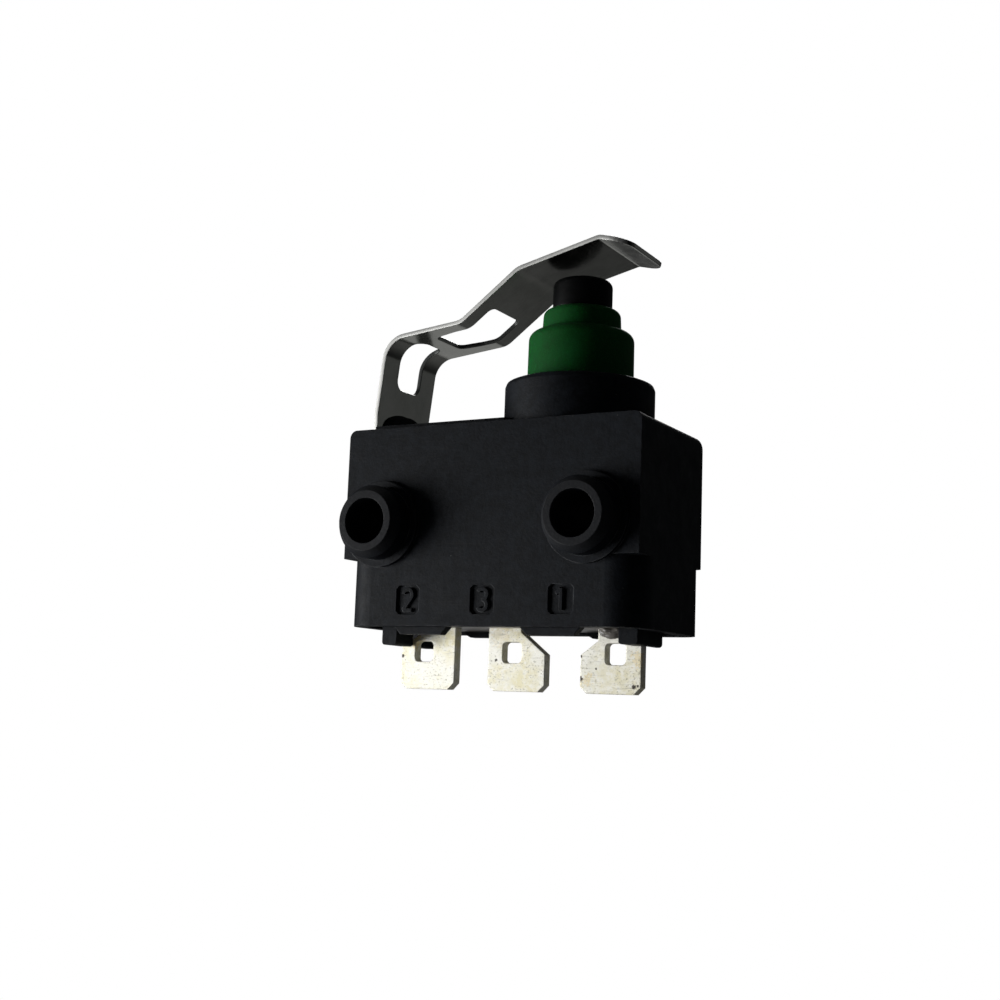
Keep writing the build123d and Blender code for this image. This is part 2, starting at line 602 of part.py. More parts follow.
def make_bow_spring():
    """The bowed strip between the common terminal's hook and the blade's window that snaps the blade over."""
    x0 = BLADE_WINDOW_START + BOW_GAP + BOW_SHEET / 2
    x1 = HOOK_X - HOOK_WIDTH / 2 - BOW_GAP - BOW_SHEET / 2
    z1 = HOOK_Z - BOW_SEAT_DROP
    middle = ((x0 + x1) / 2, (BLADE_Z + z1) / 2 - BOW_SAG)
    path = Plane.XZ.offset(-MID_Y) * ThreePointArc((x0, BLADE_Z), middle, (x1, z1))
    section = Plane(path @ 0, x_dir=(0, 1, 0), z_dir=path % 0) * Rectangle(BOW_WIDTH, BOW_SHEET)
    return sweep(section, path)


def make_guide():
    """The bush that guides the plunger's stem."""
    inner = GUIDE_BORE_RADIUS
    outer = GUIDE_RADIUS - BASE_FIT
    return turned([(inner, GUIDE_FOOT_Z), (outer, GUIDE_FOOT_Z), (outer, SEAT_Z), (inner, SEAT_Z)])


def make_clamp_ring():
    """The ring pressed into the collar over the boot's flange."""
    foot = SEAT_Z + BOOT_FLANGE
    inner = BOOT_LOWER_RADIUS + SOFT_GAP
    outer = inner + RING_WIDTH
    return turned([(inner, foot), (outer, foot), (outer, foot + RING_HEIGHT), (inner, foot + RING_HEIGHT)])


def make_boot():
    """The hollow stepped boot: a clamped flange, two eased steps, and a lip at the neck."""
    flange = COLLAR_BORE_RADIUS - SOFT_GAP
    flange_top = SEAT_Z + BOOT_FLANGE
    lower_in = BOOT_LOWER_RADIUS - BOOT_WALL
    upper_in = BOOT_UPPER_RADIUS - BOOT_WALL
    hole = NECK_RADIUS + SOFT_GAP
    profile = [(lower_in, SEAT_Z), (flange, SEAT_Z), (flange, flange_top), (BOOT_LOWER_RADIUS, flange_top)]
    profile += eased_corner(BOOT_LOWER_RADIUS, BOOT_SHOULDER_Z, BOOT_LOWER_EASE)
    profile += [(BOOT_UPPER_RADIUS, BOOT_SHOULDER_Z)]
    profile += eased_corner(BOOT_UPPER_RADIUS, BOOT_TOP_Z, BOOT_UPPER_EASE)
    lip_z = BOOT_TOP_Z - BOOT_TOP_WALL
    profile += [(hole, BOOT_TOP_Z), (hole, lip_z), (upper_in, lip_z)]
    profile += [(upper_in, BOOT_SHOULDER_Z - BOOT_WALL), (lower_in, BOOT_SHOULDER_Z - BOOT_WALL)]
    return turned(profile)


def make_plunger():
    """The plunger: an eased cap above the boot, a neck in the boot's lip, and a bored stem with a foot."""
    neck_foot = BOOT_TOP_Z - BOOT_TOP_WALL - SOFT_GAP
    cap_foot = BOOT_TOP_Z + SOFT_GAP
    foot_top = STEM_FOOT_Z + STEM_FOOT_HEIGHT
    profile = [(0, STEM_BORE_TOP_Z), (STEM_BORE_RADIUS, STEM_BORE_TOP_Z), (STEM_BORE_RADIUS, STEM_FOOT_Z)]
    profile += [(STEM_FOOT_RADIUS, STEM_FOOT_Z), (STEM_FOOT_RADIUS, foot_top), (STEM_RADIUS, foot_top)]
    profile += [(STEM_RADIUS, neck_foot - NECK_FLANGE_HEIGHT), (NECK_FLANGE_RADIUS, neck_foot)]
    profile += [(NECK_RADIUS, neck_foot), (NECK_RADIUS, cap_foot), (CAP_RADIUS, cap_foot)]
    profile += eased_corner(CAP_RADIUS, CAP_TOP_Z, CAP_EASE)
    profile += [(0, CAP_TOP_Z)]
    return turned(profile)


def make_pusher():
    """The inner pusher: a shank in the plunger's stem, and a head whose offset toe bears on the blade."""
    toe_x = STACK_X - PUSHER_TOE
    pusher = rod(STACK_X, MID_Y, PUSHER_HEAD_Z, PUSHER_TOP_Z, PUSHER_SHANK_RADIUS)
    pusher += rod(STACK_X, MID_Y, PUSHER_HEAD_Z, PUSHER_SHANK_Z, PUSHER_HEAD_RADIUS)
    half = PUSHER_NOSE_RADIUS
    pusher += block(toe_x, STACK_X, MID_Y - half, MID_Y + half, PUSHER_HEAD_Z, PUSHER_SHANK_Z)
    return pusher + rod(toe_x, MID_Y, PUSHER_FOOT_Z, PUSHER_SHANK_Z, PUSHER_NOSE_RADIUS)


def make_spring():
    """The overtravel spring between the pusher and the top of the stem's bore, a helix in short chords."""
    radius = STEM_BORE_RADIUS - SPRING_CLEARANCE - SPRING_WIRE / 2
    z0 = PUSHER_TOP_Z + SPRING_WIRE / 2 + REST_GAP
    z1 = STEM_BORE_TOP_Z - SPRING_WIRE / 2 - REST_GAP
    steps = SPRING_TURNS * SPRING_CHORDS
    turns = [radians(360 * i / SPRING_CHORDS) for i in range(steps + 1)]
    rises = [z0 + (z1 - z0) * i / steps for i in range(steps + 1)]
    line = Polyline(*[(radius * cos(a), radius * sin(a), z) for a, z in zip(turns, rises)])
    section = Plane(line @ 0, z_dir=line % 0) * Rectangle(SPRING_WIRE, SPRING_WIRE)
    return Pos(STACK_X, MID_Y, 0) * sweep(section, line, transition=Transition.RIGHT)


def lever_path():
    root = (LEVER_ROOT_X, DECK_HEIGHT - LEVER_ROOT_DEPTH)
    corners = [root, LEVER_FOOT_BEND, LEVER_CROWN, LEVER_KNEE, LEVER_BROW, LEVER_LIP, LEVER_TIP]
    return FilletPolyline(*corners, radius=list(LEVER_BEND_RADII))


def crown_window():
    """The window across the first bend, rounded at its foot on the upright leaf and at its head."""
    half = CROWN_WINDOW_WIDTH / 2
    crown_x, crown_z = LEVER_CROWN
    opening = block(LEVER_ROOT_X - LEVER_SHEET, crown_x + CROWN_WINDOW_RUN, MID_Y - half, MID_Y + half,
                    crown_z - CROWN_WINDOW_DROP, LEVER_KNEE[1] + LEVER_SHEET)
    opening = fillet(opening.edges().filter_by(Axis.X).group_by(Axis.Z)[0], CROWN_WINDOW_FOOT_RADIUS)
    return fillet(opening.edges().filter_by(Axis.Z).group_by(Axis.X)[-1], CROWN_WINDOW_HEAD_RADIUS)


def knee_window():
    """The six-sided window across the second bend."""
    start = LEVER_KNEE[0] - KNEE_WINDOW_BEFORE
    end = LEVER_KNEE[0] + KNEE_WINDOW_AFTER
    widths = (
        (start, KNEE_WINDOW_START_WIDTH),
        (start + KNEE_WINDOW_START_RUN, KNEE_WINDOW_WIDTH),
        (end, KNEE_WINDOW_WIDTH),
    )
    near = [(x, MID_Y - width / 2) for x, width in widths]
    far = [(x, MID_Y + width / 2) for x, width in reversed(widths)]
    face = make_face(Polyline(*near, *far, close=True))
    face = fillet(face.vertices(), KNEE_WINDOW_RADIUS)
    z0 = LEVER_CROWN[1] - LEVER_SHEET
    return Pos(0, 0, z0) * extrude(face, amount=LEVER_BROW[1] - z0)


def make_lever():
    """The lever, bent from one strip, with its two windows and a rounded, turned-down tip."""
    path = Plane.XZ.offset(-MID_Y) * lever_path()
    section = Plane(path @ 0, x_dir=(0, 1, 0), z_dir=path % 0) * Rectangle(LEVER_WIDTH, LEVER_SHEET)
    lever = sweep(section, path)
    end = lever.faces().sort_by_distance(path @ 1)[0]
    lever = fillet(end.edges().sort_by(SortBy.LENGTH)[:2], LEVER_TIP_RADIUS)
    return lever - crown_window() - knee_window()


def main():
    nodes = {
        "housing": make_housing(),
        "base": make_base(),
        "sealing_resin": make_resin(),
        "plunger_guide": make_guide(),
        "boot_clamp_ring": make_clamp_ring(),
        "boot": make_boot(),
        "plunger": make_plunger(),
        "pusher": make_pusher(),
        "overtravel_spring": make_spring(),
        "lever": make_lever(),
        "upper_contact": fixed_contact(UPPER_SEAT_Z - CONTACT_HEIGHT),
        "lower_contact": fixed_contact(LOWER_SEAT_Z),
        "moving_contact": make_moving_contact(),
        "snap_blade": make_blade(),
        "anchor_rivet": make_anchor_rivet(),
        "bow_spring": make_bow_spring(),
    }
    for k, make in enumerate((upper_contact_terminal, lower_contact_terminal, common_terminal)):
        nodes["terminal_" + FIGURES[k]] = make(k)
    os.makedirs("parts", exist_ok=True)
    for name, solid in nodes.items():
        export_step(solid, f"parts/{name}.step")


main()
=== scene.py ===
import math

import bmesh
import bpy
from mathutils import Matrix, Vector, noise


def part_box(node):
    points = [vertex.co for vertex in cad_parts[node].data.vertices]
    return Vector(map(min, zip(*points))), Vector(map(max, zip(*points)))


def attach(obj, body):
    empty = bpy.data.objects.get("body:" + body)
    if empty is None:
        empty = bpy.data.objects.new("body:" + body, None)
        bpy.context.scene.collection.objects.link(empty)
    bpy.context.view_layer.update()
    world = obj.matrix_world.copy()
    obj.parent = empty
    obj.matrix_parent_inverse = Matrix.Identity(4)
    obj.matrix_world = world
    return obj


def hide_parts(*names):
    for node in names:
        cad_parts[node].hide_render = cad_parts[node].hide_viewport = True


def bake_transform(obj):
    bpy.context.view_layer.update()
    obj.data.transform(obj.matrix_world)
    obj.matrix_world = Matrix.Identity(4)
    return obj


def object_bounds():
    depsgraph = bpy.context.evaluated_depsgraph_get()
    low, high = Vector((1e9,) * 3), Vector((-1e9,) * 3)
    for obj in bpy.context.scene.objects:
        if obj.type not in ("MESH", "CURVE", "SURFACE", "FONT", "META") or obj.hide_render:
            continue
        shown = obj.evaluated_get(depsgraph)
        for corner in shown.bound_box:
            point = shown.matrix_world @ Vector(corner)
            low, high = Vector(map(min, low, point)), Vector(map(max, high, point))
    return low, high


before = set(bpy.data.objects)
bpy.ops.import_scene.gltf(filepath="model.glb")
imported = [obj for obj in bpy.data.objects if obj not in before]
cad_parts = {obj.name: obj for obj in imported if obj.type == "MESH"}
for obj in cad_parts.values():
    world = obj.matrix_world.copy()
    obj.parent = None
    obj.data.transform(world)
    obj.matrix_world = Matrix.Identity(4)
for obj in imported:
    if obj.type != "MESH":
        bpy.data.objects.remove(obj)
cad_low, cad_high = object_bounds()

# Sealed micro switch: the finish of every piece, the bent lever, the boot, the plunger, and the studio.
# Lengths are written in millimetres and turned into metres where a mesh is made.
MM = 0.001

# Camera, as the photograph was taken: from the right of the front, a little below the switch
CAMERA_PLACE = (31.007, -53.21, -7.946)
CAMERA_TURN = 29.497
CAMERA_RISE = 8.197
CAMERA_ROLL = 2.137
CAMERA_LENS = 52.78
SENSOR_WIDTH = 36.0

# Studio
FLOOR_DROP = 110.0
FLOOR_SIZE = 4000.0
FLOOR_NEAR = 45.0
FLOOR_FAR = 105.0
FLOOR_SEEN = 0.82
FLOOR_BOUNCE = 0.3
AMBIENT = 0.045

# Lamps by place, size and power: the key from the lower left, two weaker ones above and behind,
# and two dim cards behind that only show in the lever's reflections
LAMPS = {
    "key": ((-128.0, -72.0, -32.0), 88.0, 0.33),
    "top": ((-60.0, 40.0, 160.0), 120.0, 0.02),
    "back": ((-70.0, 150.0, 120.0), 100.0, 0.22),
    "left_card": ((-82.0, 132.0, -38.0), 56.0, 0.0029),
    "right_card": ((86.0, 132.0, 22.0), 56.0, 0.00045),
}

# Lever, by the corners of its middle line
SHEET = 0.2
SHEET_EDGE = 0.03
LEVER_WIDTH = 4.32
LEVER_CORNERS = (
    (-6.5, 2.8), (-6.5, 5.38), (-6.1, 8.78), (-2.21, 9.22), (0.62, 11.36), (4.55, 12.31), (5.9, 11.97),
)
LEVER_RADII = (0.8, 1.14, 0.96, 1.08, 0.47)
LEVER_TIP_RADIUS = 0.85
LEVER_SMOOTH_ANGLE = 25

# Crown window: the height of its foot, the place along X of its head, and its width
CROWN_WINDOW = (6.73, -4.94, 1.9)
CROWN_WINDOW_FOOT_RADIUS = 0.5
CROWN_WINDOW_HEAD_RADIUS = 0.6

# Knee window, by the place along X and the width of its corners
KNEE_WINDOW = ((-4.16, 2.2), (-2.96, 2.6), (-1.1, 2.6))
KNEE_WINDOW_RADIUS = 0.35

# Steps at which the blank is cut across before bending, and at which lengths are looked up
CUT_STEP = 0.08
LENGTH_STEP = 0.005

# Boot and plunger, by radius and height along their common axis
STACK_X = 2.8
BOOT_SEAT_Z = 5.28
BOOT_FLANGE_Z = 5.73
BOOT_FLANGE_RADIUS = 2.7
BOOT_LOWER_RADIUS = 2.33
BOOT_SHOULDER_Z = 8.66
BOOT_UPPER_RADIUS = 1.7
BOOT_TOP_Z = 9.7
BOOT_NECK_RADIUS = 0.98
BOOT_NECK_HEIGHT = 0.4
BOOT_WALL = 0.5
BOOT_DRAFT = 0.02
BOOT_STEP_DRAFT = 0.05
BOOT_STEP_RISE = 0.06
BOOT_ROUNDING = (0, 0.05, 0.05, 0.1, 0.42, 0.12, 0.28, 0.06, 0.05, 0.1, 0.1, 0.1)
STEM_BORE_RADIUS = 0.5
STEM_FOOT_RADIUS = 1.05
STEM_FOOT_HEIGHT = 0.4
STEM_RADIUS = 0.8
STEM_TOP_Z = 9.0
STEM_FLANGE_RADIUS = 1.12
STEM_FLANGE_Z = 9.25
CAP_NECK_RADIUS = 0.95
CAP_FOOT_Z = 9.75
CAP_RADIUS = 1.32
CAP_TOP_Z = 11.12
CAP_CROWN = 0.06
CAP_ROUNDING = (0, 0, 0, 0.03, 0.03, 0, 0, 0, 0, 0, 0.04, 0.3, 0)
TURNED_STEP = 9
TURNED_SEGMENTS = 128

# Overtravel spring
COIL_TURNS = 5
COIL_STEPS = 20
COIL_WIRE_RADIUS = 0.06
COIL_INSET = 0.07
COIL_ROOM = 0.03

# Marks on the solder tabs, by place and reach: brown stains with their strength, and dark nicks
TAB_STAINS = (
    ((3.63, 3.2, -6.5), 0.3, 0.45),
    ((6.03, 3.2, -5.6), 0.35, 0.5),
    ((-0.65, 3.2, -4.6), 0.5, 0.2),
    ((-5.0, 3.2, -4.9), 0.4, 0.6),
)
TAB_PITTED = ((5.6, 3.2, -6.35), 0.8)
TAB_NICKS = (
    ((-5.68, 3.2, -5.61), 0.09),
    ((3.34, 3.2, -6.46), 0.13),
    ((3.34, 3.2, -5.5), 0.07),
    ((5.83, 3.2, -6.74), 0.1),
    ((6.0, 3.2, -6.7), 0.06),
    ((4.06, 3.2, -6.02), 0.05),
    ((-0.8, 3.2, -5.72), 0.07),
)

# A lump of sealing resin in front of a solder tab's neck, and a black lump at the foot of the lever on its
# inner side that stands in for the dark reflection of the deck in the leaf: a painted reflection
BEAD_CENTRE = (5.0, 2.8, -4.42)
BEAD_REACH = (0.62, 0.4, 0.34)
FOOT_REFLECTION_LUMP_CENTRE = (-6.36, 3.75, 4.3)
FOOT_REFLECTION_LUMP_REACH = (0.28, 2.3, 1.25)
LEAF_GAP = 0.015

# Colours in linear light. Where there are two, the surface wanders between them
BLACK_MOULDING = ((0.0014, 0.0019, 0.0028, 1), (0.0029, 0.0037, 0.0051, 1))
BLACK_SCUFF = (0.015, 0.0155, 0.017, 1)
BLACK_DUST = (0.16, 0.16, 0.15, 1)
# Pale edges of the moulding: wear, and also a painted highlight along the edges
BLACK_EDGE_WEAR_AND_HIGHLIGHT = (0.075, 0.078, 0.082, 1)
# Post tips: a painted highlight, a paler colour for the light on their tapered rims, faded in along Y
BLACK_POST_TIP_HIGHLIGHT = (0.014, 0.0145, 0.016, 1)
POST_TIP_HIGHLIGHT_FADE = (-0.95, -1.25)
BOOT_GREEN = ((0.0005, 0.042, 0.004, 1), (0.0015, 0.062, 0.009, 1))
BOOT_GRAIN = (0.005, 0.095, 0.02, 1)
BOOT_DUST = (0.08, 0.14, 0.09, 1)
BOOT_SHEEN = (0.5, 0.9, 0.55, 1)
CAP_BLACK = ((0.0016, 0.0018, 0.0019, 1), (0.0036, 0.0039, 0.0041, 1))
STEEL = ((0.3, 0.31, 0.28, 1), (0.46, 0.465, 0.43, 1))
STEEL_LINE = (0.58, 0.58, 0.55, 1)
# Cut faces: a painted highlight on the front ones, and painted shade on the inner ones from a place along Y
STEEL_CUT_HIGHLIGHT = (0.72, 0.72, 0.7, 1)
STEEL_INNER_CUT_SHADE = (0.05, 0.052, 0.05, 1)
INNER_CUT_SHADE_FROM = (1.5, 1.7)
TIN = ((0.88, 0.87, 0.78, 1), (0.82, 0.77, 0.54, 1))
TIN_BRIGHT = (0.95, 0.94, 0.88, 1)
TIN_STAIN = (0.8, 0.64, 0.3, 1)
TIN_PIT = (0.24, 0.22, 0.14, 1)
TIN_SCRATCH = (0.36, 0.34, 0.27, 1)
TIN_NICK = (0.06, 0.05, 0.04, 1)
TIN_WORN_EDGE = (0.22, 0.19, 0.13, 1)
RESIN = ((0.05, 0.045, 0.04, 1), (0.13, 0.12, 0.105, 1))
SILVER = ((0.6, 0.6, 0.58, 1), (0.8, 0.8, 0.78, 1))
COPPER = ((0.45, 0.24, 0.11, 1), (0.68, 0.42, 0.22, 1))
WHITE = (1, 1, 1, 1)
SURROUND = (0.94, 0.97, 1.0, 1)

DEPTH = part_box("housing")[1].y / MM
MID_Y = DEPTH / 2


# Helpers for meshes


def mesh_object(name, mesh, smooth_angle=35):
    """An object for a mesh that is written in millimetres, shaded smooth except at its sharp edges."""
    mesh.transform(Matrix.Scale(MM, 4))
    mesh.shade_smooth()
    mesh.set_sharp_from_angle(angle=math.radians(smooth_angle))
    piece = bpy.data.objects.new(name, mesh)
    bpy.context.scene.collection.objects.link(piece)
    return piece


def rounded_outline(points, radii, step=12):
    """A closed outline with each corner rounded by an arc of its own radius."""
    outline = []
    for i, point in enumerate(points):
        corner = Vector(point)
        back = Vector(points[i - 1]) - corner
        ahead = Vector(points[(i + 1) % len(points)]) - corner
        if radii[i] == 0:
            outline.append(tuple(corner))
            continue
        half = back.angle(ahead) / 2
        reach = radii[i] / math.tan(half)
        centre = corner + (back.normalized() + ahead.normalized()).normalized() * (radii[i] / math.sin(half))
        start = corner + back.normalized() * reach - centre
        end = corner + ahead.normalized() * reach - centre
        sweep = start.angle_signed(end)
        count = max(2, round(abs(math.degrees(sweep)) / step))
        for k in range(count + 1):
            turn = -sweep * k / count
            outline.append((centre.x + start.x * math.cos(turn) - start.y * math.sin(turn),
                            centre.y + start.x * math.sin(turn) + start.y * math.cos(turn)))
    return outline


def turned_mesh(name, outline, x, y):
    """A body of revolution about an upright axis, from a closed outline of (radius, height) points."""
    verts = []
    faces = []
    count = len(outline)
    for i in range(TURNED_SEGMENTS):
        angle = 2 * math.pi * i / TURNED_SEGMENTS
        for radius, z in outline:
            verts.append((x + radius * math.cos(angle), y + radius * math.sin(angle), z))
    for i in range(TURNED_SEGMENTS):
        here = i * count
        there = (i + 1) % TURNED_SEGMENTS * count
        for k in range(count):
            after = (k + 1) % count
            faces.append((here + k, there + k, there + after, here + after))
    mesh = bpy.data.meshes.new(name)
    mesh.from_pydata(verts, [], faces)
    weld(mesh)
    return mesh_object(name, mesh)


def weld(mesh, distance=0.0005):
    """Merges points that coincide and turns all faces outwards."""
    work = bmesh.new()
    work.from_mesh(mesh)
    bmesh.ops.remove_doubles(work, verts=work.verts, dist=distance)
    bmesh.ops.dissolve_degenerate(work, edges=work.edges, dist=distance / 10)
    bmesh.ops.recalc_face_normals(work, faces=work.faces)
    work.to_mesh(mesh)
    work.free()


def tube_mesh(name, points, radius, sides=10):
    """A round tube along a list of points."""
    verts = []
    faces = []
    for i, point in enumerate(points):
        before = points[max(i - 1, 0)]
        after = points[min(i + 1, len(points) - 1)]
        along = (after - before).normalized()
        side = along.cross(Vector((0, 0, 1))).normalized()
        up = side.cross(along)
        for k in range(sides):
            turn = 2 * math.pi * k / sides
            verts.append(point + side * radius * math.cos(turn) + up * radius * math.sin(turn))
    for i in range(len(points) - 1):
        for k in range(sides):
            after = (k + 1) % sides
            faces.append((i * sides + k, i * sides + after, (i + 1) * sides + after, (i + 1) * sides + k))
    faces.append(tuple(range(sides)))
    faces.append(tuple((len(points) - 1) * sides + k for k in range(sides)))
    mesh = bpy.data.meshes.new(name)
    mesh.from_pydata(verts, [], faces)
    weld(mesh)
    return mesh_object(name, mesh)


# The bent strip of the lever


class BentLine:
    """A line with rounded corners in the X-Z plane, followed by its length from the start."""

    def __init__(self, corners, radii):
        points = [Vector(corner) for corner in corners]
        reaches = [0.0]
        turns = [0.0]
        for i, radius in enumerate(radii, start=1):
            turn = (points[i] - points[i - 1]).angle_signed(points[i + 1] - points[i])
            turns.append(-turn)
            reaches.append(radius * math.tan(abs(turn) / 2))
        reaches.append(0.0)
        self.parts = []
        for i in range(len(points) - 1):
            span = points[i + 1] - points[i]
            ahead = span.normalized()
            start = points[i] + ahead * reaches[i]
            self.parts.append((start, ahead, span.length - reaches[i] - reaches[i + 1], 0.0))
            if i < len(radii):
                bend = math.copysign(1 / radii[i], turns[i + 1])
                end = points[i + 1] - ahead * reaches[i + 1]
                self.parts.append((end, ahead, abs(turns[i + 1]) * radii[i], bend))
        self.length = sum(part[2] for part in self.parts)

    def at(self, s):
        """The point and the direction after the length s."""
        s = min(s, self.length - 1e-6)  # the last part has no end of its own
        for start, ahead, length, bend in self.parts:
            if s <= length:
                break
            s -= length
        if bend == 0:
            return start + ahead * s, ahead
        turn = bend * s
        side = Vector((-ahead.y, ahead.x))
        point = start + ahead * (math.sin(turn) / bend) + side * ((1 - math.cos(turn)) / bend)
        return point, ahead * math.cos(turn) + side * math.sin(turn)

    def length_at(self, axis, value):
        """The length after which the line first passes a value of X (axis 0) or Z (axis 1)."""
        steps = round(self.length / LENGTH_STEP)
        lengths = (self.length * k / steps for k in range(steps))
        return next(s for s in lengths if self.at(s)[0][axis] >= value)


def strip_plan(line):
    """The flat strip before bending: its outline and its two windows, by length and width."""
    half = LEVER_WIDTH / 2
    edge = SHEET_EDGE
    outline = [(0, -half), (line.length, -half), (line.length, half), (0, half)]
    outline = [(min(max(s, edge), line.length - edge), math.copysign(half - edge, y)) for s, y in outline]
    foot_z, head_x, width = CROWN_WINDOW
    foot = line.length_at(1, foot_z) - edge
    head = line.length_at(0, head_x) + edge
    half = width / 2 + edge
    crown = [(foot, -half), (head, -half), (head, half), (foot, half)]
    at_foot, at_head = CROWN_WINDOW_FOOT_RADIUS, CROWN_WINDOW_HEAD_RADIUS
    sides = [(line.length_at(0, x), width / 2 + edge) for x, width in KNEE_WINDOW]
    knee = [(s, -width) for s, width in sides] + [(s, width) for s, width in reversed(sides)]
    return [
        rounded_outline(outline, (0, LEVER_TIP_RADIUS, LEVER_TIP_RADIUS, 0)),
        rounded_outline(crown, (at_foot, at_head, at_head, at_foot)),
        rounded_outline(knee, (KNEE_WINDOW_RADIUS,) * len(knee)),
    ]


def bent_lever(name):
    """The lever: a flat blank with rolled edges, cut across at close steps and bent along its middle line."""
    line = BentLine(LEVER_CORNERS, LEVER_RADII)
    curve = bpy.data.curves.new(name + "_blank", "CURVE")
    curve.dimensions = "2D"
    curve.fill_mode = "BOTH"
    curve.extrude = SHEET / 2 - SHEET_EDGE
    curve.bevel_depth = SHEET_EDGE
    curve.bevel_resolution = 2
    for outline in strip_plan(line):
        spline = curve.splines.new("POLY")
        spline.points.add(len(outline) - 1)
        for point, (s, y) in zip(spline.points, outline):
            point.co = (s, y, 0, 1)
        spline.use_cyclic_u = True
    blank = bpy.data.objects.new(name + "_blank", curve)
    bpy.context.scene.collection.objects.link(blank)
    mesh = bpy.data.meshes.new_from_object(blank)
    bpy.data.objects.remove(blank)
    work = bmesh.new()
    work.from_mesh(mesh)
    bmesh.ops.remove_doubles(work, verts=work.verts, dist=0.0005)
    for k in range(1, int(line.length / CUT_STEP)):
        everything = work.verts[:] + work.edges[:] + work.faces[:]
        place = (k * CUT_STEP, 0, 0)
        bmesh.ops.bisect_plane(work, geom=everything, dist=0.0001, plane_co=place, plane_no=(1, 0, 0))
    for vert in work.verts:
        point, ahead = line.at(vert.co.x)
        place = point + Vector((-ahead.y, ahead.x)) * vert.co.z
        vert.co = (place.x, MID_Y + vert.co.y, place.y)
    bmesh.ops.recalc_face_normals(work, faces=work.faces)
    work.to_mesh(mesh)
    work.free()
    mesh.name = name
    return mesh_object(name, mesh, smooth_angle=LEVER_SMOOTH_ANGLE)


# The soft boot, the plunger and the springs


def boot_outline():
    """The boot's section: clamped flange, two steps with round shoulders, and the lip round the neck."""
    lower_in = BOOT_LOWER_RADIUS - BOOT_WALL
    upper_in = BOOT_UPPER_RADIUS - BOOT_WALL
    neck_foot = BOOT_TOP_Z - BOOT_NECK_HEIGHT
    points = [
        (lower_in, BOOT_SEAT_Z),
        (BOOT_FLANGE_RADIUS, BOOT_SEAT_Z),
        (BOOT_FLANGE_RADIUS, BOOT_FLANGE_Z),
        (BOOT_LOWER_RADIUS + BOOT_DRAFT, BOOT_FLANGE_Z),
        (BOOT_LOWER_RADIUS, BOOT_SHOULDER_Z),
        (BOOT_UPPER_RADIUS + BOOT_STEP_DRAFT, BOOT_SHOULDER_Z + BOOT_STEP_RISE),
        (BOOT_UPPER_RADIUS, BOOT_TOP_Z),
        (BOOT_NECK_RADIUS, BOOT_TOP_Z),
        (BOOT_NECK_RADIUS, neck_foot),
        (upper_in, neck_foot),
        (upper_in, BOOT_SHOULDER_Z - BOOT_WALL),
        (lower_in, BOOT_SHOULDER_Z - BOOT_WALL),
    ]
    return rounded_outline(points, BOOT_ROUNDING, step=TURNED_STEP)


def plunger_outline():
    """The plunger's section: rounded cap, neck, flange, stem with its foot, and the bore for the spring."""
    stem_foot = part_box("plunger")[0].z / MM
    bore_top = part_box("overtravel_spring")[1].z / MM + COIL_ROOM
    axis = 0.0005  # a radius at which the turned ends all but close
    points = [
        (axis, bore_top),
        (STEM_BORE_RADIUS, bore_top),
        (STEM_BORE_RADIUS, stem_foot),
        (STEM_FOOT_RADIUS, stem_foot),
        (STEM_FOOT_RADIUS, stem_foot + STEM_FOOT_HEIGHT),
        (STEM_RADIUS, stem_foot + STEM_FOOT_HEIGHT),
        (STEM_RADIUS, STEM_TOP_Z),
        (STEM_FLANGE_RADIUS, STEM_FLANGE_Z),
        (CAP_NECK_RADIUS, STEM_FLANGE_Z),
        (CAP_NECK_RADIUS, CAP_FOOT_Z),
        (CAP_RADIUS, CAP_FOOT_Z),
        (CAP_RADIUS, CAP_TOP_Z - CAP_CROWN),
        (axis, CAP_TOP_Z),
    ]
    return rounded_outline(points, CAP_ROUNDING, step=TURNED_STEP)


def coil_points():
    """The middle line of the overtravel spring."""
    low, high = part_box("overtravel_spring")
    radius = (high.x - low.x) / MM / 2 - COIL_INSET
    z0 = low.z / MM + COIL_INSET
    z1 = high.z / MM - COIL_INSET
    count = COIL_TURNS * COIL_STEPS
    points = []
    for i in range(count + 1):
        angle = 2 * math.pi * i / COIL_STEPS
        z = z0 + (z1 - z0) * i / count
        points.append(Vector((STACK_X + radius * math.cos(angle), MID_Y + radius * math.sin(angle), z)))
    return points


def lump_mesh(name, centre, reach):
    """A rough lump beside a piece of metal, flat where it meets the lever's leaf: a bead of sealing resin,
    and the black lump at the lever's foot that is a painted reflection.
    """
    wall = LEVER_CORNERS[0][0] + SHEET / 2 + LEAF_GAP
    work = bmesh.new()
    bmesh.ops.create_icosphere(work, subdivisions=5, radius=1)
    for vert in work.verts:
        lump = noise.noise(vert.co * 1.7) * 0.2 + noise.noise(vert.co * 4.5) * 0.05
        place = vert.co * (1 + lump)
        vert.co = [c + p * r for c, p, r in zip(centre, place, reach)]
        vert.co.x = max(vert.co.x, wall)
    mesh = bpy.data.meshes.new(name)
    work.to_mesh(mesh)
    work.free()
    return mesh_object(name, mesh)


# Materials


